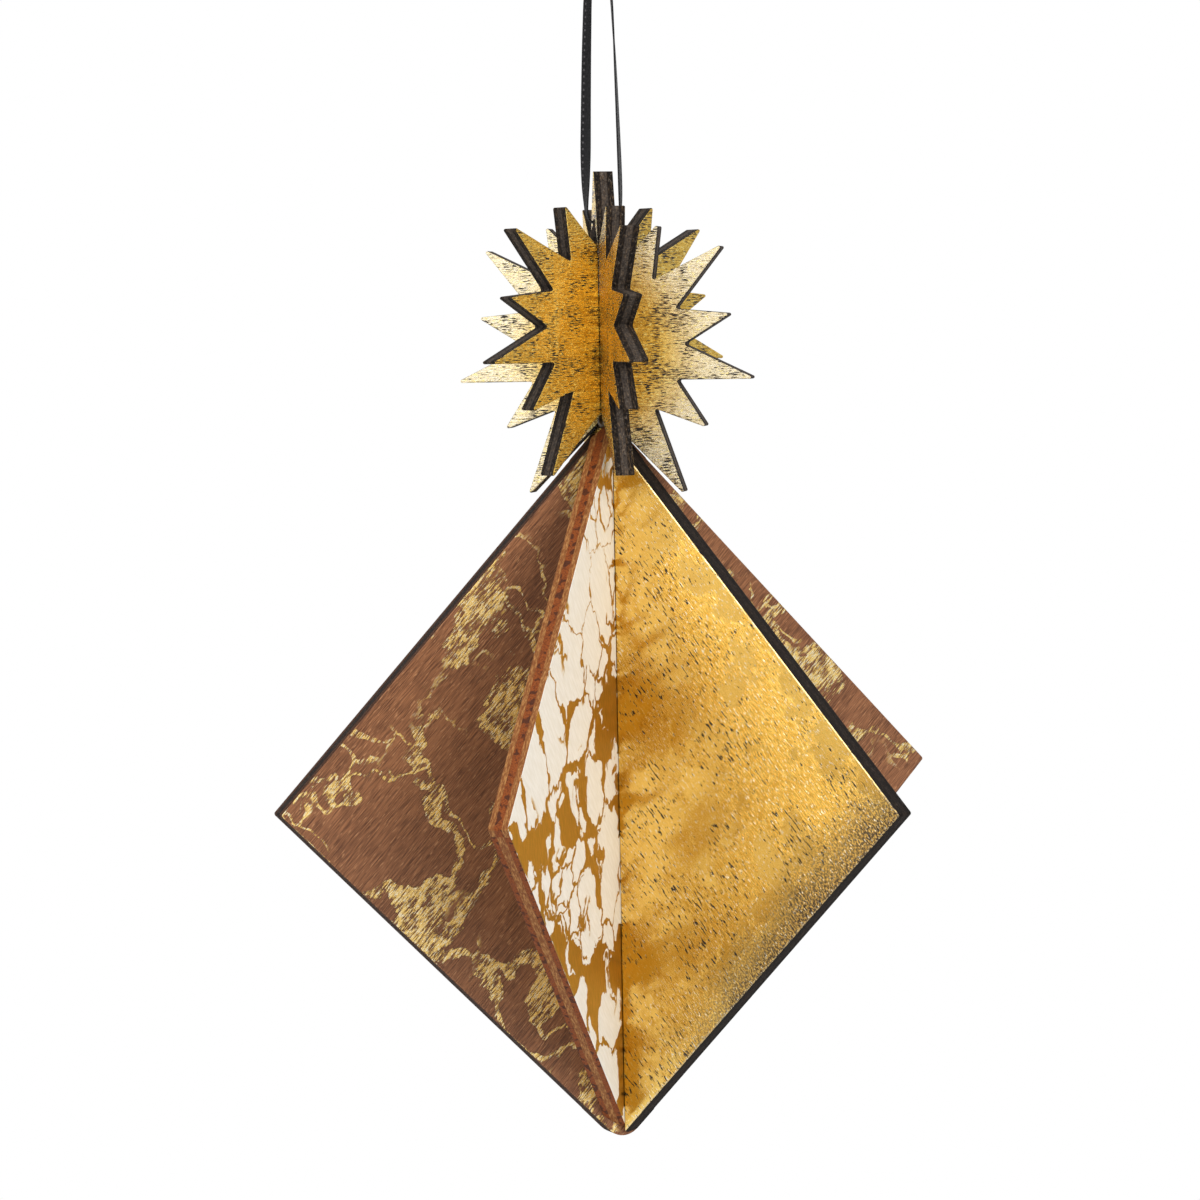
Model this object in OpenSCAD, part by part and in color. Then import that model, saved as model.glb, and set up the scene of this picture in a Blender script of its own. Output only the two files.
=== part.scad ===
// Hanging wooden bauble: three square plywood panels stand on their corners and cross on one upright
// axis, a crossed star of three plates sits on their top corner, and a ribbon holds it all up.

/* [Sheet] */
// Thickness of the plywood that every plate is cut from
ply_t = 3; // [2.5:0.1:3.2]
// Play between a slot and the plates that cross it
slot_play = 0.1; // [0.05:0.05:0.3]

/* [Panels] */
// Side of each square panel
panel_side = 80; // [70:1:120]
// Radius of the panels' side and top corners
panel_corner_r = 0.4; // [0.3:0.1:1]
// Radius of the panels' bottom corner
bottom_corner_r = 3.5; // [2:0.5:5]
// Direction of the walnut panel, in degrees about the upright axis
walnut_turn = 28; // [24:1:30]
// Direction of the gold panel
gold_turn = -42; // [-44:1:-40]
// Direction of the cream panel
cream_turn = -107; // [-110:1:-100]
// How much higher than the others the cream panel stands in its slots
cream_rise = 1.3; // [0:0.1:1.5]

/* [Star] */
// Number of rays of the whole star, before the lowest is cut away for the seat
ray_count = 14; // [14]
// Reach of the long rays from the star's centre
long_ray = 23.6; // [22:0.1:26]
// Reach of the short rays
short_ray = 20; // [18:0.1:21]
// Distance from the star's centre to the notches between the rays
notch_r = 12.5; // [11.5:0.1:13.5]
// Radius of the rays' tips
tip_r = 0.25; // [0.2:0.05:0.5]
// Depth of the right-angled seat's point below the star's centre
seat_depth = 10.7; // [10:0.1:10.7]
// Distance from the axis to the tips of the two feet beside the seat
foot_r = 12; // [11.5:0.1:12.5]
// Height of the star's centre above the panels' sharp top corner
star_height = 14.6; // [14.6:0.1:16]
// How much lower than the others the first star plate sits
low_plate_drop = 3; // [2:0.1:3]
// Direction of the low star plate, in degrees about the upright axis
low_plate_turn = -14; // [-18:1:-12]
// Direction of the middle star plate
mid_plate_turn = 40; // [36:1:44]
// Direction of the top star plate, which keeps the top ray
top_plate_turn = -78; // [-82:1:-74]

/* [Ribbon] */
// Diameter of the ribbon hole in the top ray
hole_d = 2; // [1.9:0.1:2.4]
// Height of the ribbon hole above the star's centre
hole_height = 15.4; // [15:0.1:16]
// Width of the ribbon
ribbon_w = 1.6; // [1.4:0.1:1.6]
// Thickness of the ribbon
ribbon_t = 0.3; // [0.2:0.05:0.4]
// Length of each cut end above the knot
tail_length = 9; // [6:1:14]

/* [Glue] */
// Radius of the glue bead under the star
glue_r = 1.9; // [1.7:0.1:2]

/* [Hidden] */
$fn = 48;

// Height of the ribbon hole, from the hang point at the origin
hole_z = -42;
// One strand of the ribbon, in its own plane, from the top of the hole up to the knot: distance from the
// axis, then height
strand_route = [
    [0, -41.6], [1.4, -41.6], [2.2, -41.2], [2.6, -40.2], [2.7, -38.5], [2.7, -35], [2.55, -28],
    [2.3, -19], [2.05, -12], [1.8, -7], [1.3, -3.5], [0.95, -1.6], [0.9, 0]
];
// How far the flat of each strand has twisted at those points, in degrees
left_twist = [0, 0, 0, 5, 15, 40, 85, 100, 112, 120, 120, 120, 120];
right_twist = [0, 0, 10, 20, 28, 30, 27, 20, 10, 5, 0, 0, 0];
star_z = hole_z - hole_height;
top_corner_z = star_z - star_height;
half_diagonal = panel_side / sqrt(2);
panel_z = top_corner_z - half_diagonal;
ribbon_turn = top_plate_turn + 90;

ray_step = 360 / ray_count;
star_top = notch_r * cos(ray_step / 2);
star_third = (star_top + seat_depth) / 3;

// Heights where the solid stretch passes from one plate to the next, the step between two slots that end
// near one of them, and heights clear of the whole object
panel_upper_cut = round(panel_z + half_diagonal / 3);
panel_lower_cut = round(panel_z - half_diagonal / 3);
star_upper_cut = round(star_z - seat_depth + 2 * star_third);
star_lower_cut = round(star_z - seat_depth + star_third);
slot_step = 1;
clear_above = 0;
clear_below = 2 * round(panel_z);

// A flat plate stood upright through the axis: the outline's X runs outwards and its Y upwards
module upright(turn) {
    rotate([90, 0, turn])
        linear_extrude(height = ply_t, center = true)
            children();
}

// The upright channel that a plate in this direction needs between two heights: it is cut at that plate's
// own angle, so that the plates close up against each other's faces
module channel(turn, from, to) {
    channel_w = ply_t + 2 * slot_play;
    rotate([0, 0, turn])
        translate([-panel_side / 2, -channel_w / 2, from])
            cube([panel_side, channel_w, to - from]);
}

module rounded_square() {
    inner = panel_side - 2 * panel_corner_r;
    square([panel_side, inner], center = true);
    square([inner, panel_side], center = true);
    for (x = [-1, 1], y = [-1, 1])
        translate([x, y] * inner / 2)
            circle(panel_corner_r);
}

// A square on its corner, with its bottom corner rounder than the others
module panel_outline() {
    spare = 1;
    rotate(45) {
        difference() {
            rounded_square();
            translate([-1, -1] * (panel_side / 2 + spare))
                square(bottom_corner_r + spare);
        }
        translate([-1, -1] * (panel_side / 2 - bottom_corner_r))
            circle(bottom_corner_r);
    }
}

module walnut_panel() {
    color("saddlebrown")
        difference() {
            translate([0, 0, panel_z])
                upright(walnut_turn)
                    panel_outline();
            channel(cream_turn, panel_lower_cut, clear_above);
            channel(gold_turn, panel_upper_cut - slot_step - slot_play, clear_above);
        }
}

module gold_panel() {
    color("goldenrod")
        difference() {
            translate([0, 0, panel_z])
                upright(gold_turn)
                    panel_outline();
            channel(cream_turn, clear_below, panel_upper_cut);
            channel(walnut_turn, clear_below, panel_upper_cut - slot_step);
        }
}

module cream_panel() {
    color("antiquewhite")
        difference() {
            translate([0, 0, panel_z + cream_rise])
                upright(cream_turn)
                    panel_outline();
            channel(gold_turn, panel_upper_cut - slot_play, clear_above);
            channel(walnut_turn, panel_upper_cut + slot_step, clear_above);
            channel(walnut_turn, clear_below, panel_lower_cut + slot_play);
        }
}

// Star outline: rays are numbered clockwise from the top one, and long and short ones alternate
tip_steps = 6;
foot = ray_count / 2 - 1;

function polar(r, a) = [r * cos(a), r * sin(a)];
function ray_direction(k) = 90 - k * ray_step;
function ray_reach(k) = k % 2 == 0 ? long_ray : short_ray;
function notch(k) = polar(notch_r, ray_direction(k + 0.5));
function arc(centre, from, to) =
    [for (i = [0:tip_steps]) centre + polar(tip_r, from + (to - from) * i / tip_steps)];

// Half the angle that a ray's round tip covers, where its sides run off to the notches
function tip_half_angle(reach) =
    let (back = notch_r * cos(ray_step / 2) - reach + tip_r, side = notch_r * sin(ray_step / 2))
    atan2(side, back) - acos(tip_r / norm([side, back]));

function ray_tip(k) =
    let (half = tip_half_angle(ray_reach(k)), a = ray_direction(k))
    arc(polar(ray_reach(k) - tip_r, a), a + half, a - half);

// The foot beside the seat ends in an arc that runs into the seat's 45 degree side
function foot_tip() =
    let (
        centre = [foot_r, -seat_depth - foot_r + tip_r * sqrt(2)],
        side = notch(foot - 1) - centre,
        start = atan2(side[1], side[0]) - acos(tip_r / norm(side))
    )
    arc(centre, start, -135);

function star_right() = concat(
    [notch(0)],
    [for (k = [1:foot - 1]) each concat(ray_tip(k), [notch(k)])],
    foot_tip()
);

function mirrored(points) =
    [for (i = [len(points) - 1:-1:0]) [-points[i][0], points[i][1]]];

module star_outline() {
    right = star_right();
    polygon(concat(ray_tip(0), right, [[0, -seat_depth]], mirrored(right)));
}

module star_plate_low() {
    color("khaki")
        difference() {
            translate([0, 0, star_z - low_plate_drop])
                upright(low_plate_turn)
                    star_outline();
            channel(mid_plate_turn, star_lower_cut - slot_play, clear_above);
            channel(top_plate_turn, star_upper_cut - slot_step - slot_play, clear_above);
        }
}

module star_plate_mid() {
    color("darkgoldenrod")
        difference() {
            translate([0, 0, star_z])
                upright(mid_plate_turn)
                    star_outline();
            channel(low_plate_turn, clear_below, star_lower_cut);
            channel(low_plate_turn, star_upper_cut + slot_step, clear_above);
            channel(top_plate_turn, star_upper_cut, clear_above);
        }
}

module star_plate_top() {
    color("gold")
        difference() {
            translate([0, 0, star_z])
                upright(top_plate_turn)
                    difference() {
                        star_outline();
                        translate([0, hole_height])
                            circle(d = hole_d);
                    }
            channel(mid_plate_turn, clear_below, star_upper_cut + slot_play);
            channel(low_plate_turn, clear_below, star_upper_cut - slot_step);
        }
}

// Dried glue that fills the gap between the low star plate's seat and the gold panel's top corner
module glue_bead() {
    color("lightyellow")
        difference() {
            translate([0, 0, top_corner_z])
                sphere(glue_r);
            gold_panel();
            star_plate_low();
        }
}

// Ribbon: one flat strip from the knot down through the hole and back up to the knot
ring_steps = 2;

function reversed(list) = [for (i = [len(list) - 1:-1:1]) list[i]];
function opposite(p) = [-p[0], p[1]];

ribbon_route = concat([for (p = reversed(strand_route)) opposite(p)], strand_route);
ribbon_twist = concat(reversed(left_twist), right_twist);

// A smooth curve through a list of points or numbers, at a place counted in points
function along(list, place) =
    let (
        last = len(list) - 1,
        i = min(floor(place), last - 1),
        f = place - i,
        a = list[max(i - 1, 0)],
        b = list[i],
        c = list[i + 1],
        d = list[min(i + 2, last)]
    )
    b + f * (c - a) / 2 + f * f * (a - 2.5 * b + 2 * c - d / 2) + f * f * f * (1.5 * (b - c) + (d - a) / 2);

function heading(place) =
    let (last = len(ribbon_route) - 1, reach = 0.05)
    along(ribbon_route, min(place + reach, last)) - along(ribbon_route, max(place - reach, 0));

// The strip's section, wide along X and thin along Y, with its edges eased
function strip_section() =
    let (w = ribbon_w / 2, t = ribbon_t / 2)
    [
        [w, -t / 2], [w, t / 2], [w - t, t], [t - w, t],
        [-w, t / 2], [-w, -t / 2], [t - w, -t], [w - t, -t]
    ];

// One ring of the strip: its width lies across the route's plane until it twists
function strip_ring(place) =
    let (
        p = along(ribbon_route, place),
        last = len(ribbon_route) - 1,
        h = place == 0 ? [0, -1] : place == last ? [0, 1] : heading(place),
        n = [-h[1], h[0]] / norm(h),
        twist = along(ribbon_twist, place)
    )
    [
        for (s = strip_section())
            let (out = s[0] * sin(twist) + s[1] * cos(twist), across = s[0] * cos(twist) - s[1] * sin(twist))
            [p[0] + out * n[0], across, p[1] + out * n[1]]
    ];

module ribbon() {
    sides = len(strip_section());
    rings = (len(ribbon_route) - 1) * ring_steps;
    points = [for (i = [0:rings]) each strip_ring(i / ring_steps)];
    walls = [
        for (i = [0:rings - 1], j = [0:sides - 1])
            let (a = i * sides, b = a + sides, k = (j + 1) % sides)
            each [[a + j, a + k, b + j], [a + k, b + k, b + j]]
    ];
    first = [for (j = [1:sides - 2]) [0, j + 1, j]];
    end = rings * sides;
    final = [for (j = [1:sides - 2]) [end, end + j, end + j + 1]];
    color("black")
        rotate([0, 0, ribbon_turn])
            polyhedron(points, concat(walls, first, final));
}

// Knot: a tight round turn over both strands, with the two cut ends standing out of its top
knot_bottom_r = 2;
knot_r = 2.7;
knot_height = 4.2;
knot_top_r = 1.2;
tail_lean = 28;

module knot_tail() {
    slant = ribbon_w;
    rotate([90, 0, 0])
        linear_extrude(height = ribbon_t, center = true)
            polygon([
                [-ribbon_w / 2, -knot_height / 3],
                [ribbon_w / 2, -knot_height / 3],
                [ribbon_w / 2, tail_length],
                [-ribbon_w / 2, tail_length - slant]
            ]);
}

module ribbon_knot() {
    color("black")
        rotate([0, 0, ribbon_turn]) {
            rotate_extrude() {
                polygon([
                    [0, 0], [knot_bottom_r, 0], [knot_r, knot_height / 3],
                    [knot_r, knot_height / 2], [knot_top_r, knot_height], [0, knot_height]
                ]);
            }
            for (side = [-1, 1])
                translate([0, 0, knot_height - ribbon_t])
                    rotate([0, side * tail_lean, 0])
                        rotate([0, 0, 90])
                            knot_tail();
        }
}

walnut_panel();
gold_panel();
cream_panel();
star_plate_low();
star_plate_mid();
star_plate_top();
glue_bead();
ribbon();
ribbon_knot();
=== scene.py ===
import math

import bmesh
import bpy
from mathutils import Matrix, Vector


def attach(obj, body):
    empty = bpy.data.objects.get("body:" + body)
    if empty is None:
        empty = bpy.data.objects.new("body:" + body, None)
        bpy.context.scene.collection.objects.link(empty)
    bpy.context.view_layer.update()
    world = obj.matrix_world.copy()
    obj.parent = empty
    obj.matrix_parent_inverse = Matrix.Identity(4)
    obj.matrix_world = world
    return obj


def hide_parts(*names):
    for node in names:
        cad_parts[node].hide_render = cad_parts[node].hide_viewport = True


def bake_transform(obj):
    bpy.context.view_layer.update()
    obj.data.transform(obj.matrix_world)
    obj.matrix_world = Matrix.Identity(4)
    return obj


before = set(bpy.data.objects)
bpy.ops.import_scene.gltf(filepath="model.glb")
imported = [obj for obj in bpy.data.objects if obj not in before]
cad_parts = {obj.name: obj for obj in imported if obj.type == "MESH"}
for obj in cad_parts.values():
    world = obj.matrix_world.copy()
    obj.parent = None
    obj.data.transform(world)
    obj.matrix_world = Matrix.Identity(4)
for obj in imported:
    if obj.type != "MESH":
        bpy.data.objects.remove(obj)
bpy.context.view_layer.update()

# Sizes and places of the plates and the ribbon, in metres and degrees
MM = 0.001
PANEL_SIDE = 80 * MM
HALF_DIAGONAL = PANEL_SIDE / math.sqrt(2)
HALF_DIAGONAL_MM = HALF_DIAGONAL / MM
HOLE_Z_MM = -42
HOLE_HEIGHT_MM = 15.4
STAR_HEIGHT_MM = 14.6
STAR_CENTRE = (HOLE_Z_MM - HOLE_HEIGHT_MM) * MM
PANEL_CENTRE = (HOLE_Z_MM - HOLE_HEIGHT_MM - STAR_HEIGHT_MM) * MM - HALF_DIAGONAL
PANEL_TURN = {"walnut_panel": 28, "gold_panel": -42, "cream_panel": -107}
STAR_TURN = {"star_plate_low": -14, "star_plate_mid": 40, "star_plate_top": -78}
RIBBON_TURN = STAR_TURN["star_plate_top"] + 90
RIBBON_WIDTH = 1.6 * MM
RIBBON_THICKNESS = 0.28 * MM

# Camera: a point on the axis lies this far to the right of, ahead of and above the lens
SENSOR_MM = 36
PHOTO_PIXELS = 1200
FOCAL_PIXELS = 3400
NEAREST_SEEN = 10 * MM
AIM_HEIGHT = -128 * MM
AIM_SEEN_AT = Vector((2.13, 528.9, -28.15)) * MM
CAMERA_ROLL = math.radians(-1.05)
CAMERA_PITCH = math.radians(4.6)


def make_camera():
    data = bpy.data.cameras.new("camera")
    data.sensor_width = SENSOR_MM
    data.lens = SENSOR_MM * FOCAL_PIXELS / PHOTO_PIXELS
    data.clip_start = NEAREST_SEEN
    camera = bpy.data.objects.new("camera", data)
    bpy.context.scene.collection.objects.link(camera)
    to_camera = Matrix.Rotation(CAMERA_ROLL, 3, "Y") @ Matrix.Rotation(CAMERA_PITCH, 3, "X")
    right, ahead, up = to_camera.row
    turn = Matrix((right, up, -ahead)).transposed().to_4x4()
    place = Vector((0, 0, AIM_HEIGHT)) - to_camera.transposed() @ AIM_SEEN_AT
    camera.matrix_world = Matrix.Translation(place) @ turn
    bpy.context.scene.camera = camera


def new_object(name, mesh):
    made = bpy.data.objects.new(name, mesh)
    bpy.context.scene.collection.objects.link(made)
    return made


# Ribbon strip: its woven edge, as insets in selvedge widths and shares of the thickness, and its middle
SELVEDGE = 0.16 * MM
EDGE_PROFILE = [(0, 0), (0.3, 0.85), (1, 1), (1.6, 0.72)]
MIDDLE_THICKNESS = 0.66
RINGS_PER_POINT = 12


def smooth_at(values, place):
    """A smooth curve through a list of vectors or numbers, at a place counted in list entries."""
    last = len(values) - 1
    i = min(int(place), last - 1)
    f = place - i
    a, b = values[max(i - 1, 0)], values[i]
    c, d = values[i + 1], values[min(i + 2, last)]
    square = a - 2.5 * b + 2 * c - d / 2
    cube = 1.5 * (b - c) + (d - a) / 2
    return b + f * (c - a) / 2 + f * f * square + f**3 * cube


def smooth_line(values):
    count = (len(values) - 1) * RINGS_PER_POINT + 1
    return [smooth_at(values, i / RINGS_PER_POINT) for i in range(count)]


def strip_section():
    """The ribbon's section: across it, then through it, with a fuller woven edge on both sides."""
    half, thick = RIBBON_WIDTH / 2, RIBBON_THICKNESS / 2
    left = [(-half + inset * SELVEDGE, share * thick) for inset, share in EDGE_PROFILE]
    right = [(-x, y) for x, y in reversed(left)]
    upper = left + [(0, MIDDLE_THICKNESS * thick)] + right
    return upper + [(x, -y) for x, y in reversed(upper[1:-1])]


def strip_mesh(name, lines):
    """Flat ribbons along lines of (point, width direction, share of width), with UVs in millimetres."""
    bm = bmesh.new()
    uv = bm.loops.layers.uv.new("ribbon")
    section = strip_section()
    for line in lines:
        rings, run = [], 0.0
        for i, (point, wide, share) in enumerate(line):
            before, after = line[max(i - 1, 0)][0], line[min(i + 1, len(line) - 1)][0]
            heading = (after - before).normalized()
            wide = (wide - heading * wide.dot(heading)).normalized()
            thin = heading.cross(wide)
            if i:
                run += (point - line[i - 1][0]).length
            ring = [bm.verts.new(point + wide * x * share + thin * y) for x, y in section]
            rings.append((ring, run))
        count = len(section)
        for (ring, run), (following, next_run) in zip(rings, rings[1:]):
            for j in range(count):
                k = (j + 1) % count
                face = bm.faces.new((ring[j], ring[k], following[k], following[j]))
                face.smooth = True
                across = (section[j][0], section[k][0], section[k][0], section[j][0])
                along = (run, run, next_run, next_run)
                for loop, u, v in zip(face.loops, along, across):
                    loop[uv].uv = (u / MM, v / MM)
        for ring, place in (rings[0], rings[-1]):
            cap = bm.faces.new(ring)
            for loop, (x, _) in zip(cap.loops, section):
                loop[uv].uv = (place / MM, x / MM)
    bmesh.ops.recalc_face_normals(bm, faces=bm.faces)
    mesh = bpy.data.meshes.new(name)
    bm.to_mesh(mesh)
    bm.free()
    return mesh


# Knot: both strands pass up through a round turn of ribbon and stand out of its top as two cut ends
KNOT_RADIUS = 1.75 * MM
KNOT_SWELL = 0.3 * MM
KNOT_TURNS = 2.5
KNOT_LOW = 0.7 * MM
KNOT_HIGH = 3.4 * MM
KNOT_WAVE = 0.45 * MM
KNOT_WAVE_START = 0.6
KNOT_LEAN = 0.25
KNOT_STEPS = 90
TAIL_TWIST = 0.9
TAIL_TILT = 0.5
TAIL_POINTS_MM = {
    -1: [
        (-0.9, 0, 0), (-0.6, 0.1, 1.5), (-0.5, 0.2, 3.2),
        (-1.3, 0.3, 5.4), (-2.6, 0.1, 8), (-3.9, -0.5, 11),
    ],
    1: [
        (0.9, 0, 0), (0.6, -0.1, 1.5), (0.5, -0.2, 3.2),
        (1.1, -0.3, 5.6), (2.2, 0.1, 8.2), (3.4, 0.7, 10.8),
    ],
}


def knot_wrap(turn):
    """The ribbon's round turns about the two strands, which ride over each other as they climb."""
    wrap = []
    for i in range(KNOT_STEPS + 1):
        share = i / KNOT_STEPS
        angle = 2 * math.pi * KNOT_TURNS * share
        radius = KNOT_RADIUS + KNOT_SWELL * (1 - math.cos(2 * math.pi * share)) / 2
        lift = KNOT_LOW + (KNOT_HIGH - KNOT_LOW) * share + KNOT_WAVE * math.sin(angle + KNOT_WAVE_START)
        wide = Vector((KNOT_LEAN * math.cos(angle), KNOT_LEAN * math.sin(angle), 1))
        point = Vector((radius * math.cos(angle), radius * math.sin(angle), lift))
        wrap.append((turn @ point, turn @ wide, 1))
    return wrap


def knot_tail(turn, side, points):
    """One strand through the knot and its cut end above it, twisting to its own side."""
    smooth = smooth_line([Vector(p) for p in points])
    tail = []
    for i, point in enumerate(smooth):
        share = i / (len(smooth) - 1)
        angle = TAIL_TWIST * side * share
        wide = Vector((math.sin(angle), math.cos(angle), TAIL_TILT * share))
        tail.append((turn @ point * MM, turn @ wide, 1))
    return tail


def make_knot():
    turn = Matrix.Rotation(math.radians(RIBBON_TURN), 3, "Z")
    lines = [knot_wrap(turn)]
    for side, points in TAIL_POINTS_MM.items():
        lines.append(knot_tail(turn, side, points))
    knot = new_object("wound_knot", strip_mesh("wound_knot", lines))
    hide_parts("ribbon_knot")
    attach(knot, "hanger")
    return knot


# Ribbon: a strand's distance from the axis and height, then the twists in degrees and the share of width
STRAND_ROUTE_MM = [
    (0, -41.6), (1.4, -41.6), (2.2, -41.2), (2.6, -40.2), (2.7, -38.5), (2.7, -35), (2.55, -28),
    (2.3, -19), (2.05, -12), (1.8, -7), (1.3, -3.5), (0.95, -1.6), (0.9, 0),
]
LEFT_TWIST = [0, 0, 0, 5, 15, 40, 85, 100, 112, 120, 120, 120, 120]
RIGHT_TWIST = [0, 0, 10, 20, 28, 30, 27, 20, 10, 5, 0, 0, 0]
GATHER = [0.58, 0.58, 0.58, 0.68, 0.86, 1, 1, 1, 1, 1, 1, 1, 1]


def make_ribbon():
    """The loop hangs from the knot: its top twists with the knot and its foot with the bauble."""
    strand = [Vector(p) for p in STRAND_ROUTE_MM]
    route = [Vector((-p.x, p.y)) for p in strand[:0:-1]] + strand
    twist = smooth_line(LEFT_TWIST[:0:-1] + RIGHT_TWIST)
    gather = smooth_line(GATHER[:0:-1] + GATHER)
    turn = Matrix.Rotation(math.radians(RIBBON_TURN), 3, "Z")
    points = [turn @ Vector((p.x, 0, p.y)) * MM for p in smooth_line(route)]
    across = turn @ Vector((0, 1, 0))
    line = []
    for i, (point, angle, share) in enumerate(zip(points, twist, gather)):
        heading = (points[min(i + 1, len(points) - 1)] - points[max(i - 1, 0)]).normalized()
        out = across.cross(heading)
        wide = across * math.cos(math.radians(angle)) + out * math.sin(math.radians(angle))
        line.append((point, wide, share))
    ribbon = new_object("satin_ribbon", strip_mesh("satin_ribbon", [line]))
    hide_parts("ribbon")
    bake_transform(ribbon)
    return ribbon


# Material nodes: faces stretch the direction through the sheet, so that front and back differ
FACE_STRETCH = (1, 14, 1)


class Graph:
    """One material's nodes, with short calls for the few kinds used here."""

    def __init__(self, name):
        self.material = bpy.data.materials.new(name)
        self.material.use_nodes = True
        self.nodes = self.material.node_tree.nodes
        self.nodes.clear()
        self.shader = self.nodes.new("ShaderNodeBsdfPrincipled")
        output = self.nodes.new("ShaderNodeOutputMaterial")
        self.link(output.inputs["Surface"], self.shader.outputs["BSDF"])

    def link(self, socket, value):
        if isinstance(value, bpy.types.NodeSocket):
            self.material.node_tree.links.new(value, socket)
        else:
            socket.default_value = value

    def add(self, kind, inputs, **settings):
        made = self.nodes.new(kind)
        for key, value in settings.items():
            setattr(made, key, value)
        for key, value in inputs.items():
            self.link(made.inputs[key], value)
        return made

    def finish(self, **inputs):
        for key, value in inputs.items():
            self.link(self.shader.inputs[key.replace("_", " ")], value)
        return self.material

    def math(self, operation, a, b=0.0):
        return self.add("ShaderNodeMath", {0: a, 1: b}, operation=operation).outputs[0]

    def sum(self, *values):
        total = values[0]
        for value in values[1:]:
            total = self.math("ADD", total, value)
        return total

    def product(self, a, b):
        return self.math("MULTIPLY", a, b)

    def minus(self, a, b):
        return self.math("SUBTRACT", a, b)

    def most(self, a, b):
        return self.math("MAXIMUM", a, b)

    def size(self, value):
        return self.math("ABSOLUTE", value)

    def ramp(self, value, low, high, start=0.0, end=1.0):
        """A smooth step from start, where value is low, to end, where it is high."""
        inputs = {"Value": value, "From Min": low, "From Max": high, "To Min": start, "To Max": end}
        return self.add("ShaderNodeMapRange", inputs, interpolation_type="SMOOTHSTEP").outputs[0]

    def mix(self, factor, a, b):
        return self.add("ShaderNodeMix", {0: factor, 6: a, 7: b}, data_type="RGBA").outputs[2]

    def times(self, vector, by):
        return self.add("ShaderNodeVectorMath", {0: vector, 1: by}, operation="MULTIPLY").outputs[0]

    def plus(self, vector, by):
        return self.add("ShaderNodeVectorMath", {0: vector, 1: by}, operation="ADD").outputs[0]

    def parts(self, vector):
        return self.add("ShaderNodeSeparateXYZ", {0: vector}).outputs

    def noise(self, vector, scale=1.0, detail=2.0, rough=0.5, shift=None, output=0):
        """Noise at that scale, taken from elsewhere by a shift where it must not follow another noise."""
        if shift:
            vector = self.plus(vector, shift)
        inputs = {"Vector": vector, "Scale": scale, "Detail": detail, "Roughness": rough}
        return self.add("ShaderNodeTexNoise", inputs).outputs[output]

    def grain(self, place, angle, length, spacing, detail=2.0, rough=0.5, shift=None):
        """Noise drawn out along a grain at that angle, of about that length and spacing in millimetres."""
        inputs = {"Vector": place, "Angle": math.radians(angle)}
        turned = self.add("ShaderNodeVectorRotate", inputs, rotation_type="Y_AXIS").outputs[0]
        stretched = self.times(turned, (1 / length, 1, 1 / spacing))
        return self.noise(stretched, 1.0, detail, rough, shift)

    def seams(self, place, spacing):
        """The distance in millimetres to the nearest seam of a net of cells about this far across."""
        inputs = {"Vector": place, "Scale": 1 / spacing}
        cells = self.add("ShaderNodeTexVoronoi", inputs, feature="DISTANCE_TO_EDGE")
        return self.product(cells.outputs["Distance"], spacing)

    def bump(self, height, depth):
        """A bump whose height from 0 to 1 stands for this depth in metres."""
        inputs = {"Height": height, "Distance": depth, "Strength": 1.0}
        return self.add("ShaderNodeBump", inputs).outputs[0]

    def plate_space(self, turn, centre):
        """Millimetres on a plate from its centre: X outwards, Y through the sheet, Z up."""
        place = self.add("ShaderNodeTexCoord", {}).outputs["Object"]
        inputs = {
            "Vector": place,
            "Location": (0, 0, -centre / MM),
            "Rotation": (0, 0, -math.radians(turn)),
            "Scale": (1 / MM, 1 / MM, 1 / MM),
        }
        return self.add("ShaderNodeMapping", inputs).outputs[0]

    def face_space(self, turn, centre):
        return self.times(self.plate_space(turn, centre), FACE_STRETCH)

    def warped(self, place, size, reach):
        """Plate space pushed about by noise of that size, up to about half that reach."""
        shift = self.noise(place, 1 / size, detail=3.0, rough=0.55, output=1)
        centred = self.plus(shift, (-0.5, -0.5, -0.5))
        return self.plus(place, self.times(centred, (reach, 0, reach)))


def linear(channel):
    """A channel of a colour on a screen, from 0 to 255, as the linear value that a shader takes."""
    share = channel / 255
    if channel <= 10:
        return share / 12.92
    return ((share + 0.055) / 1.055) ** 2.4


def colour(red, green, blue):
    return (linear(red), linear(green), linear(blue), 1.0)


# Gold leaf and foil
GOLD = (0.97, 0.665, 0.18, 1.0)
DEEP_GOLD = (0.72, 0.40, 0.05, 1.0)
SOILED_GOLD = (0.54, 0.34, 0.10, 1.0)
# Painted highlight: pale colour for the painted glints and the painted rim line on the gold panel
PAINTED_GLINT = (1.0, 0.92, 0.7, 1.0)
BARE = colour(42, 34, 30)
GRIME = colour(60, 38, 14)
# Painted highlight: paler golds painted at the low star plate's tips
TIP_HIGHLIGHT_GOLD = (0.91, 0.82, 0.62, 1.0)
TIP_HIGHLIGHT_DEEP = (0.83, 0.68, 0.40, 1.0)
STAR_GOLD = (1.0, 0.67, 0.15, 1.0)
STAR_DEEP = (0.66, 0.39, 0.055, 1.0)
# Painted highlight and painted shade colours for the star foil
STAR_PAINTED_GLINT = (1.0, 0.83, 0.32, 1.0)
STAR_PAINTED_SHADE = (0.28, 0.15, 0.04, 1.0)
LEAF_GOLD = (0.86, 0.53, 0.13, 1.0)
LEAF_BRIGHT = (1.0, 0.72, 0.25, 1.0)
# Painted highlight: pale colour for the painted glints in the walnut's leaf
LEAF_PAINTED_GLINT = (1.0, 0.89, 0.62, 1.0)
OCHRE_GOLD = (0.50, 0.33, 0.08, 1.0)
WORN_GOLD = (0.64, 0.40, 0.11, 1.0)

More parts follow.
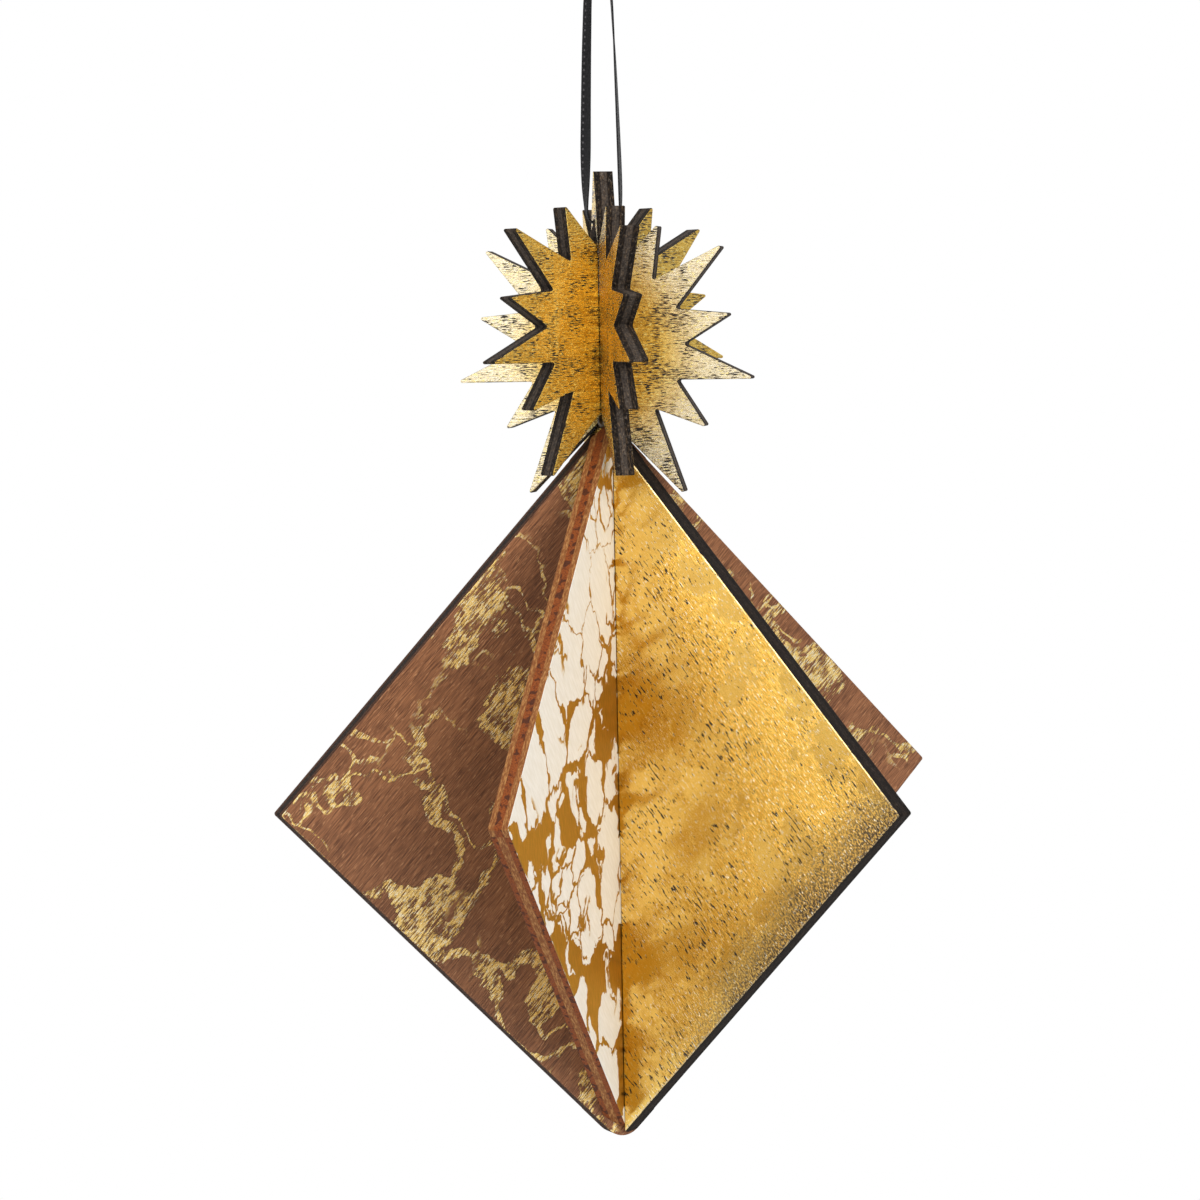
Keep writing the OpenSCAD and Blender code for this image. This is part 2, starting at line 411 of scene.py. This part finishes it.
# Wood and cream
WALNUT_DARK = colour(92, 55, 34)
WALNUT_LIGHT = colour(158, 106, 71)
# Painted sheen: light dashes along the walnut grain
WALNUT_SHEEN_DASH = colour(196, 142, 100)
WALNUT_STAIN = colour(74, 50, 38)
CREAM_DULL = colour(238, 234, 225)
CREAM_CLEAN = colour(247, 244, 238)
FIBRE_PALE = colour(204, 164, 120)
SPECK_DARK = colour(18, 14, 12)
SPECK_PALE = colour(186, 172, 156)
PLY_JOINT = colour(24, 17, 14)
LONG_GRAIN_DARK = colour(136, 78, 36)
LONG_GRAIN_LIGHT = colour(202, 144, 84)
END_GRAIN_LIGHT = colour(156, 80, 30)
END_GRAIN_DARK = colour(100, 46, 17)
END_GRAIN_PORE = colour(58, 26, 13)

# Grain angles in degrees, the plies' joints in millimetres from the sheet's middle, and relief in metres
PANEL_GRAIN = 45
GOLD_GRAIN = -45
STAR_GRAIN = 0
RUBBED_ANGLE = 80
PLY_CORE = 0.5
PLY_OUTER = 0.64
PLY_JOINT_AT = 0.57
WALNUT_RELIEF = 0.10 * MM
CREAM_RELIEF = 0.03 * MM
GOLD_RELIEF = 0.09 * MM
STAR_RELIEF = 0.24 * MM
EDGE_RELIEF = 0.16 * MM
GLUE_RELIEF = 0.2 * MM
WEAVE_RELIEF = 0.04 * MM


def walnut_face(turn, centre):
    """Brown wood grain with light dashes along it painted as sheen, and veins of brushed gold leaf, worn
    through along the grain, with pale specks painted on the leaf as glints.
    """
    g = Graph("walnut_face")
    place = g.face_space(turn, centre)
    streak = g.grain(place, PANEL_GRAIN, 6.0, 0.19, detail=4.0, rough=0.6)
    fine = g.grain(place, PANEL_GRAIN, 3.0, 0.13)
    broad = g.grain(place, PANEL_GRAIN, 30, 6)
    tone = g.sum(g.product(streak, 0.35), g.product(fine, 0.5), g.product(broad, 0.15))
    wood = g.mix(g.ramp(tone, 0.39, 0.6), WALNUT_DARK, WALNUT_LIGHT)
    # Light dashes along the grain, painted as sheen
    sheen_dash = g.grain(place, PANEL_GRAIN, 1.6, 0.22, detail=1.0, shift=(31, 0, 7))
    wood = g.mix(g.ramp(sheen_dash, 0.6, 0.72, 0.0, 0.7), wood, WALNUT_SHEEN_DASH)

    bent = g.warped(g.warped(place, 17, 26), 4, 5)
    edge = g.seams(bent, 22)
    swell = g.ramp(g.noise(place, 0.07, 3.0), 0.46, 0.68, 0.3, 2.1)
    brush = g.grain(place, PANEL_GRAIN, 2.6, 0.3, detail=4.0, rough=0.7)
    patchy = g.ramp(g.noise(place, 0.55, 3.0, shift=(3, 0, 29)), 0.3, 0.7, -0.06, 0.06)
    brush = g.sum(brush, patchy)
    reach = g.product(swell, g.ramp(brush, 0.3, 0.7, 0.4, 1.5))
    shown = g.ramp(g.noise(place, 0.045, 1.0, shift=(61, 0, 17)), 0.34, 0.44)
    vein = g.product(g.ramp(g.minus(edge, reach), 0.12, -0.05), shown)
    branches = g.ramp(g.noise(place, 0.06, 1.0, shift=(5, 0, 83)), 0.5, 0.56)
    thread = g.product(g.ramp(g.seams(bent, 10), 0.42, 0.24), branches)
    foil = g.product(g.most(vein, thread), g.ramp(brush, 0.445, 0.515))
    leaf = g.mix(g.ramp(brush, 0.5, 0.57), LEAF_GOLD, LEAF_BRIGHT)
    # Pale specks painted on the leaf as glints
    painted_glint_noise = g.grain(place, PANEL_GRAIN, 0.9, 0.24, rough=0.6, shift=(13, 0, 47))
    leaf = g.mix(g.ramp(painted_glint_noise, 0.51, 0.59, 0.0, 0.9), leaf, LEAF_PAINTED_GLINT)
    stain = g.product(g.ramp(g.minus(edge, reach), 0.5, 0.0, 0.0, 0.3), shown)
    wood = g.mix(stain, wood, WALNUT_STAIN)

    height = g.sum(g.product(fine, 0.7), g.product(streak, 0.5), g.product(foil, brush))
    return g.finish(
        Base_Color=g.mix(foil, wood, leaf),
        Metallic=g.product(foil, 0.6),
        Roughness=g.ramp(foil, 0, 1, 0.58, 0.27),
        Normal=g.bump(height, WALNUT_RELIEF),
    )


def cream_face(turn, centre):
    """Cream paint with veins and blotches of ochre gold, most of them low and near the axis."""
    g = Graph("cream_face")
    place = g.face_space(turn, centre)
    brushed = g.grain(place, PANEL_GRAIN, 3.0, 0.5, detail=4.0)
    cream = g.mix(g.ramp(brushed, 0.35, 0.7), CREAM_DULL, CREAM_CLEAN)

    bent = g.warped(g.warped(g.warped(place, 9, 9), 2.4, 3.0), 0.9, 0.9)
    across, _, up = g.parts(place)
    swell = g.ramp(g.noise(place, 0.08, 3.0), 0.4, 0.64, 0.25, 1.5)
    swell = g.product(swell, g.ramp(up, 14, 36, 1.0, 0.3))
    vein = g.ramp(g.minus(g.seams(bent, 13), swell), 0.06, -0.06)
    busy = g.ramp(g.noise(place, 0.07, 1.0, shift=(23, 0, 71)), 0.5, 0.54)
    thread = g.product(g.ramp(g.seams(bent, 6), 0.34, 0.24), busy)
    near_axis = g.ramp(g.size(across), 2, 28, 0.085, -0.05)
    far_up = g.ramp(g.size(g.sum(up, 9)), 20, 46, 0.0, -0.3)
    blotch = g.sum(g.noise(bent, 0.085, 6.0, 0.62), g.sum(near_axis, far_up))
    blotch = g.ramp(blotch, 0.575, 0.585)
    foil = g.most(g.most(vein, thread), blotch)
    rubbed = g.grain(place, RUBBED_ANGLE, 2.4, 0.3, detail=4.0, rough=0.65)
    ochre = g.mix(g.ramp(rubbed, 0.4, 0.62), OCHRE_GOLD, WORN_GOLD)

    height = g.sum(g.product(brushed, 0.3), g.product(foil, 0.8))
    return g.finish(
        Base_Color=g.mix(foil, cream, ochre),
        Metallic=foil,
        Roughness=g.ramp(foil, 0, 1, 0.42, 0.34),
        Normal=g.bump(height, CREAM_RELIEF),
    )


def gold_face(turn, centre):
    """Gold leaf with smooth and crinkled clouds, dark flecks, painted glints, a pale highlight painted
    along the rim, and grime along the lower edges.
    """
    g = Graph("gold_face")
    place = g.face_space(turn, centre)
    grain = g.grain(place, GOLD_GRAIN, 1.4, 0.17, detail=4.0, rough=0.65)
    rough_zone = g.ramp(g.noise(place, 0.085, 4.0, 0.6), 0.45, 0.57)
    crowd = g.noise(place, 0.11, 3.0, shift=(9, 0, 43))
    pores = g.grain(place, GOLD_GRAIN, 1.6, 0.36, rough=0.6)
    fleck = g.ramp(g.sum(pores, g.ramp(crowd, 0.35, 0.65, -0.05, 0.03)), 0.61, 0.63)
    # Pale specks painted on the foil as glints
    painted_glint_noise = g.grain(place, GOLD_GRAIN, 1.0, 0.3, rough=0.6, shift=(17, 0, 5))
    painted_glint = g.ramp(painted_glint_noise, 0.6, 0.64, 0.0, 0.95)

    across, _, up = g.parts(place)
    across = g.size(across)
    low_side = g.minus(g.sum(across, g.product(crowd, 12)), up)
    soil = g.ramp(low_side, HALF_DIAGONAL_MM - 8, HALF_DIAGONAL_MM + 7)
    soil = g.product(soil, g.ramp(across, 8, 30, 0.08, 1.0))
    grit = g.grain(place, GOLD_GRAIN, 0.42, 0.26, detail=3.0, rough=0.7)
    dirt = g.product(g.ramp(grit, 0.45, 0.55), soil)
    dark = g.most(fleck, dirt)

    deep = g.product(g.ramp(grain, 0.4, 0.58), g.ramp(rough_zone, 0.0, 1.0, 0.3, 1.0))
    foil = g.mix(deep, GOLD, DEEP_GOLD)
    foil = g.mix(g.product(soil, 0.8), foil, SOILED_GOLD)
    # A pale line painted along the outer rim as a highlight
    painted_rim = g.ramp(g.sum(across, g.size(up)), HALF_DIAGONAL_MM - 0.5, HALF_DIAGONAL_MM - 0.3)
    painted_rim = g.product(painted_rim, g.ramp(grit, 0.4, 0.6, 0.1, 0.5))
    foil = g.mix(g.most(painted_glint, painted_rim), foil, PAINTED_GLINT)
    relief = g.product(grain, g.ramp(rough_zone, 0.0, 1.0, 0.35, 1.3))
    relief = g.sum(relief, g.product(grit, g.ramp(soil, 0.0, 1.0, 0.1, 0.9)))
    relief = g.minus(relief, g.product(fleck, 0.5))
    return g.finish(
        Base_Color=g.mix(dark, foil, g.mix(dirt, BARE, GRIME)),
        Metallic=g.ramp(dark, 0.0, 1.0, 1.0, 0.1),
        Roughness=g.ramp(rough_zone, 0.0, 1.0, 0.16, 0.25),
        Normal=g.bump(relief, GOLD_RELIEF),
    )


def star_face(name, turn, tip_highlight_gold, tip_highlight_deep):
    """Gold foil on level grain, worn through in flecks, with painted glints; near the axis, painted shade
    and painted reflections in stripes; at the plate's tips a gold of its own, on the low plate paler,
    painted as a highlight.
    """
    g = Graph(name)
    place = g.face_space(turn, STAR_CENTRE)
    streak = g.grain(place, STAR_GRAIN, 1.5, 0.17, detail=3.0, rough=0.6)
    lumps = g.grain(place, STAR_GRAIN, 0.8, 0.25, detail=3.0, rough=0.6)
    band = g.grain(place, STAR_GRAIN, 9, 0.5, detail=3.0, rough=0.6)
    painted_glint_noise = g.grain(place, STAR_GRAIN, 0.7, 0.32, rough=0.6, shift=(11, 0, 3))
    crowd = g.noise(place, 0.3)
    worn = g.sum(streak, g.ramp(crowd, 0.35, 0.65, -0.07, 0.05), g.product(lumps, 0.35))
    fleck = g.ramp(worn, 0.725, 0.765)

    # Toward the tips the foil takes the plate's tip gold; on the low plate that is a paler gold, painted as
    # a highlight
    across, _, up = g.parts(g.plus(place, (0, 0, 4)))
    from_middle = g.math("SQRT", g.sum(g.product(across, across), g.product(up, up)))
    far_out = g.ramp(from_middle, 8, 17)
    foil = g.mix(far_out, STAR_GOLD, tip_highlight_gold)
    deep = g.mix(far_out, STAR_DEEP, tip_highlight_deep)
    foil = g.mix(g.ramp(lumps, 0.42, 0.6, 0.0, 0.75), foil, deep)
    foil = g.mix(g.ramp(band, 0.46, 0.62, 0.0, 0.6), foil, deep)
    # Near the axis, dark stripes painted as shade and bright stripes painted as reflections; everywhere,
    # pale specks painted as glints
    near_axis = g.ramp(g.size(across), 1, 7, 1.0, 0.1)
    painted_stripes = g.grain(place, STAR_GRAIN, 10, 0.9, detail=3.0, rough=0.65)
    painted_shade = g.product(g.ramp(painted_stripes, 0.5, 0.6, 0.0, 0.85), near_axis)
    foil = g.mix(painted_shade, foil, STAR_PAINTED_SHADE)
    painted_shine = g.most(g.product(g.ramp(painted_stripes, 0.47, 0.4), near_axis), g.ramp(painted_glint_noise, 0.56, 0.63))
    foil = g.mix(g.product(painted_shine, 0.9), foil, STAR_PAINTED_GLINT)

    relief = g.sum(g.product(lumps, 0.7), g.product(streak, 0.6))
    return g.finish(
        Base_Color=g.mix(fleck, foil, BARE),
        Metallic=g.ramp(fleck, 0.0, 1.0, 1.0, 0.15),
        Roughness=g.ramp(streak, 0.3, 0.7, 0.17, 0.28),
        Normal=g.bump(relief, STAR_RELIEF),
    )


def ply_edge(name, turn, centre, outer, core, speckle):
    """A cut edge of the sheet: two outer plies about a core, with burnt joints and specks."""
    g = Graph(name)
    place = g.plate_space(turn, centre)
    through = g.size(g.parts(g.warped(place, 3, 0.25))[1])
    specks = g.noise(place, 2.4, 4.0, 0.75)
    fibre = g.noise(g.times(place, (1.1, 5, 1.1)), 1.0, 4.0, 0.7)
    wood = g.mix(g.ramp(through, PLY_OUTER, PLY_CORE), outer, core)
    wood = g.mix(g.ramp(fibre, 0.48, 0.74, 0.0, speckle), wood, FIBRE_PALE)
    wood = g.mix(g.ramp(specks, 0.5, 0.66, 0.0, 0.75), wood, SPECK_DARK)
    wood = g.mix(g.ramp(specks, 0.44, 0.32, 0.0, speckle), wood, SPECK_PALE)
    joint = g.ramp(g.size(g.minus(through, PLY_JOINT_AT)), 0.15, 0.0, 0.0, 0.6)
    wood = g.mix(joint, wood, PLY_JOINT)
    height = g.sum(specks, g.product(fibre, 0.7))
    return g.finish(
        Base_Color=wood,
        Roughness=0.7,
        Specular_IOR_Level=0.12,
        Normal=g.bump(height, EDGE_RELIEF),
    )


def cream_edge(name, turn, centre):
    """The cream sheet's edge: long grain is light and end grain dark, and they swap round the corners."""
    g = Graph(name)
    place = g.plate_space(turn, centre)
    across, _, up = g.parts(place)
    through = g.size(g.parts(g.warped(place, 3, 0.3))[1])
    specks = g.noise(place, 3.6, 4.0, 0.75)
    fibre = g.noise(g.times(place, (1.0, 4, 1.0)), 1.0, 4.0, 0.7)
    pores = g.noise(place, 0.9, 1.0)
    tan = g.mix(g.ramp(fibre, 0.4, 0.7), LONG_GRAIN_DARK, LONG_GRAIN_LIGHT)
    red = g.mix(g.ramp(specks, 0.4, 0.68), END_GRAIN_LIGHT, END_GRAIN_DARK)
    red = g.mix(g.ramp(pores, 0.52, 0.62, 0.0, 0.8), red, END_GRAIN_PORE)
    rising = g.ramp(g.product(across, up), -1.0, 1.0)
    in_core = g.ramp(through, PLY_OUTER, PLY_CORE)
    wood = g.mix(g.size(g.minus(rising, in_core)), red, tan)
    height = g.sum(specks, g.product(fibre, 0.7))
    return g.finish(
        Base_Color=wood,
        Roughness=0.6,
        Specular_IOR_Level=0.3,
        Normal=g.bump(height, EDGE_RELIEF),
    )


def dried_glue():
    g = Graph("dried_glue")
    place = g.times(g.add("ShaderNodeTexCoord", {}).outputs["Object"], (1 / MM, 1 / MM, 1 / MM))
    ripple = g.noise(place, 1.2)
    tint = g.mix(g.ramp(ripple, 0.3, 0.7), colour(62, 46, 28), colour(118, 90, 50))
    return g.finish(
        Base_Color=tint,
        Roughness=0.14,
        Normal=g.bump(ripple, GLUE_RELIEF),
        Coat_Weight=0.6,
    )


# Ribbon weave: the pitch of its threads and the place of its row of pale stitches, in millimetres
WEFT_PITCH = 0.22
WARP_PITCH = 0.13
STITCH_ROW = 0.42


def black_satin():
    g = Graph("black_satin")
    uv = g.add("ShaderNodeUVMap", {}, uv_map="ribbon").outputs[0]
    along, across, _ = g.parts(uv)
    weft = g.math("SINE", g.product(along, 2 * math.pi / WEFT_PITCH))
    warp = g.math("SINE", g.product(across, 2 * math.pi / WARP_PITCH))
    weave = g.sum(g.product(weft, 0.6), g.product(g.product(weft, warp), 0.4))
    lint = g.noise(g.times(uv, (1.2, 6, 1)), 1.0, 4.0)
    from_stitch = g.size(g.minus(g.math("FRACT", along), 0.5))
    from_row = g.size(g.minus(across, STITCH_ROW))
    stitch = g.product(g.ramp(from_stitch, 0.2, 0.1), g.ramp(from_row, 0.16, 0.08))
    black = g.mix(g.ramp(lint, 0.35, 0.75), colour(12, 12, 13), colour(34, 33, 35))
    return g.finish(
        Base_Color=g.mix(g.product(stitch, 0.55), black, colour(112, 108, 110)),
        Roughness=0.5,
        Specular_IOR_Level=0.25,
        Normal=g.bump(weave, WEAVE_RELIEF),
        Sheen_Weight=0.08,
    )


# Plates: rims and notches are eased clear of the slots, and faces and cut edges have their own finishes
RIM = 0.22 * MM
RIM_STEPS = 2
RIM_PROFILE = 0.6
NOTCH_EASE = 0.6 * MM
NOTCH_STEPS = 6
NOTCH_PROFILE = 0.5
NOTCH_ANGLE = math.radians(60)
PANEL_SLOT_ZONE = 6 * MM
STAR_SLOT_ZONE = 4 * MM
WELD_DISTANCE = 1e-7
FLAT_ANGLE = math.radians(0.5)
SHARP_ANGLE = math.radians(20)
ALONG_SHEET = 0.05
THROUGH_SHEET = 0.99
FACE_REACH = 0.9
LEAF_REACH = 0.3


def outline_rims(bm, through, out, slot_zone):
    """The edges between a plate's faces and its outer edge, but for those near the slots on the axis."""
    rims = []
    for edge in bm.edges:
        sides = [face for face in edge.link_faces if abs(face.normal.dot(through)) < ALONG_SHEET]
        middle = (edge.verts[0].co + edge.verts[1].co) / 2
        if len(edge.link_faces) == 2 and len(sides) == 1 and abs(middle.dot(out)) > slot_zone:
            rims.append(edge)
    return rims


def notch_edges(bm, through, out, slot_zone):
    """The edges that run through the sheet at the foot of each notch in its outline."""
    notches = []
    for edge in bm.edges:
        along = (edge.verts[1].co - edge.verts[0].co).normalized()
        if abs(along.dot(through)) < THROUGH_SHEET or abs(edge.verts[0].co.dot(out)) < slot_zone:
            continue
        if edge.calc_face_angle_signed(0) < -NOTCH_ANGLE:
            notches.append(edge)
    return notches


def ease(bm, edges, offset, steps, profile, clamp):
    bmesh.ops.bevel(
        bm, geom=edges, offset=offset, segments=steps, profile=profile, affect="EDGES",
        clamp_overlap=clamp,
    )


def dress_plate(node, turn, slot_zone, face_material, edge_material, face_reach):
    """A plate's own mesh, eased; the face's finish goes round the rims to where the normal turns so far."""
    upright = Matrix.Rotation(math.radians(turn), 3, "Z")
    through, out = upright @ Vector((0, 1, 0)), upright @ Vector((1, 0, 0))
    bm = bmesh.new()
    bm.from_mesh(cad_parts[node].data)
    bmesh.ops.remove_doubles(bm, verts=bm.verts, dist=WELD_DISTANCE)
    bmesh.ops.dissolve_limit(bm, angle_limit=FLAT_ANGLE, verts=bm.verts, edges=bm.edges)
    for side in (-1, 1):
        everything = bm.verts[:] + bm.edges[:] + bm.faces[:]
        bmesh.ops.bisect_plane(bm, geom=everything, plane_co=out * side * slot_zone, plane_no=out)
    bm.normal_update()
    notches = notch_edges(bm, through, out, slot_zone)
    if notches:
        ease(bm, notches, NOTCH_EASE, NOTCH_STEPS, NOTCH_PROFILE, clamp=False)
        bm.normal_update()
    rims = outline_rims(bm, through, out, slot_zone)
    ease(bm, rims, RIM, RIM_STEPS, RIM_PROFILE, clamp=True)
    for face in bm.faces:
        face.smooth = True
        face.material_index = 0 if abs(face.normal.dot(through)) > face_reach else 1
    mesh = bpy.data.meshes.new(node + "_dressed")
    bm.to_mesh(mesh)
    bm.free()
    mesh.set_sharp_from_angle(angle=SHARP_ANGLE)
    mesh.materials.append(face_material)
    mesh.materials.append(edge_material)
    plate = new_object(node + "_dressed", mesh)
    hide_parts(node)
    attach(plate, "bauble")


# Finishes: each sheet's outer plies, core and share of pale specks, and the foil at each star plate's tips,
# painted paler as a highlight on the low plate
STAR_PLIES = (colour(28, 24, 22), colour(72, 64, 58), 0.24)
BURNT_PLIES = (colour(26, 22, 20), colour(36, 30, 27), 0.06)
BROWN_PLIES = (colour(84, 54, 38), colour(38, 28, 24), 0.12)
# Tip golds: the low plate's paler pair is a painted highlight
STAR_TIP_HIGHLIGHT_GOLDS = {
    "star_plate_low": (TIP_HIGHLIGHT_GOLD, TIP_HIGHLIGHT_DEEP),
    "star_plate_mid": (STAR_GOLD, STAR_DEEP),
    "star_plate_top": (STAR_GOLD, STAR_DEEP),
}
PANEL_LOOKS = {
    "walnut_panel": (walnut_face, ply_edge, BROWN_PLIES, FACE_REACH),
    "gold_panel": (gold_face, ply_edge, BURNT_PLIES, LEAF_REACH),
    "cream_panel": (cream_face, cream_edge, (), FACE_REACH),
}


def dress_panels():
    for panel, (make_face, make_edge, plies, face_reach) in PANEL_LOOKS.items():
        turn = PANEL_TURN[panel]
        edge = make_edge(panel + "_edge", turn, PANEL_CENTRE, *plies)
        face = make_face(turn, PANEL_CENTRE)
        dress_plate(panel, turn, PANEL_SLOT_ZONE, face, edge, face_reach)


def dress_star():
    for plate, turn in STAR_TURN.items():
        edge = ply_edge(plate + "_edge", turn, STAR_CENTRE, *STAR_PLIES)
        face = star_face(plate + "_face", turn, *STAR_TIP_HIGHLIGHT_GOLDS[plate])
        dress_plate(plate, turn, STAR_SLOT_ZONE, face, edge, FACE_REACH)


def dress_glue():
    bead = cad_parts["glue_bead"].data
    bead.materials.clear()
    bead.materials.append(dried_glue())


def dress_ribbon(*pieces):
    satin = black_satin()
    for piece in pieces:
        piece.data.materials.append(satin)


# Studio: a pale floor well below, a large soft lamp and a fill, a grey card at one side, a white surround
FLOOR_DROP = 0.62
FLOOR_HALF = 0.9
FLOOR_TONES = (colour(236, 236, 234), colour(244, 244, 242))
CARD_PLACE = Vector((0.45, -0.08, -0.08))
CARD_HALF = 0.26
CARD_CORNERS = ((1, -1), (-1, -1), (-1, 1), (1, 1))
CARD_TONES = (colour(188, 188, 188), colour(196, 196, 196))
LAMP_SIZE = 1.0
KEY_PLACE = (0.75, -0.95, 0.4)
KEY_WATTS = 14
FILL_PLACE = (-0.85, -0.75, 0.5)
FILL_WATTS = 5
WHITE = (1, 1, 1, 1)
SURROUND_STRENGTH = 0.42
SEEN_STRENGTH = 1.0


def make_sheet(name, corners, tones):
    mesh = bpy.data.meshes.new(name)
    mesh.from_pydata(corners, [], [(0, 1, 2, 3)])
    sheet = new_object(name, mesh)
    g = Graph(name)
    place = g.add("ShaderNodeTexCoord", {}).outputs["Object"]
    mesh.materials.append(g.finish(Base_Color=g.mix(g.noise(place, 3.0), *tones), Roughness=0.8))
    return sheet


def make_floor():
    half, low = FLOOR_HALF, -FLOOR_DROP
    corners = [(-half, -half, low), (half, -half, low), (half, half, low), (-half, half, low)]
    make_sheet("floor", corners, FLOOR_TONES)


def make_card():
    corners = [CARD_PLACE + Vector((0, y, z)) * CARD_HALF for y, z in CARD_CORNERS]
    card = make_sheet("grey_card", corners, CARD_TONES)
    card.visible_camera = False


def make_lamp(name, place, watts, mirrored):
    data = bpy.data.lights.new(name, "AREA")
    data.size = LAMP_SIZE
    data.energy = watts
    lamp = bpy.data.objects.new(name, data)
    bpy.context.scene.collection.objects.link(lamp)
    aim = Vector((0, 0, PANEL_CENTRE)) - Vector(place)
    lamp.matrix_world = Matrix.Translation(place) @ aim.to_track_quat("-Z", "Y").to_matrix().to_4x4()
    lamp.visible_camera = False
    lamp.visible_glossy = mirrored


def make_world():
    """A white surround that lights the object softly and shows white to the lens, metal and glass."""
    world = bpy.data.worlds.new("studio")
    bpy.context.scene.world = world
    world.use_nodes = True
    nodes, links = world.node_tree.nodes, world.node_tree.links
    nodes.clear()
    light_path = nodes.new("ShaderNodeLightPath")
    output = nodes.new("ShaderNodeOutputWorld")
    mixed = nodes.new("ShaderNodeMixShader")
    for place, strength in ((1, SURROUND_STRENGTH), (2, SEEN_STRENGTH)):
        background = nodes.new("ShaderNodeBackground")
        background.inputs["Color"].default_value = WHITE
        background.inputs["Strength"].default_value = strength
        links.new(background.outputs[0], mixed.inputs[place])
    seen = light_path.outputs["Is Camera Ray"]
    for ray in ("Is Glossy Ray", "Is Transmission Ray"):
        either = nodes.new("ShaderNodeMath")
        either.operation = "MAXIMUM"
        links.new(seen, either.inputs[0])
        links.new(light_path.outputs[ray], either.inputs[1])
        seen = either.outputs[0]
    links.new(seen, mixed.inputs["Fac"])
    links.new(mixed.outputs[0], output.inputs["Surface"])


# The making: camera and cord first, then the plates, the glue and the studio
make_camera()
wound_knot = make_knot()
satin_ribbon = make_ribbon()
dress_panels()
dress_star()
dress_glue()
dress_ribbon(satin_ribbon, wound_knot)
make_floor()
make_card()
make_lamp("key", KEY_PLACE, KEY_WATTS, mirrored=False)
make_lamp("fill", FILL_PLACE, FILL_WATTS, mirrored=True)
make_world()
bpy.context.scene.view_settings.view_transform = "Standard"
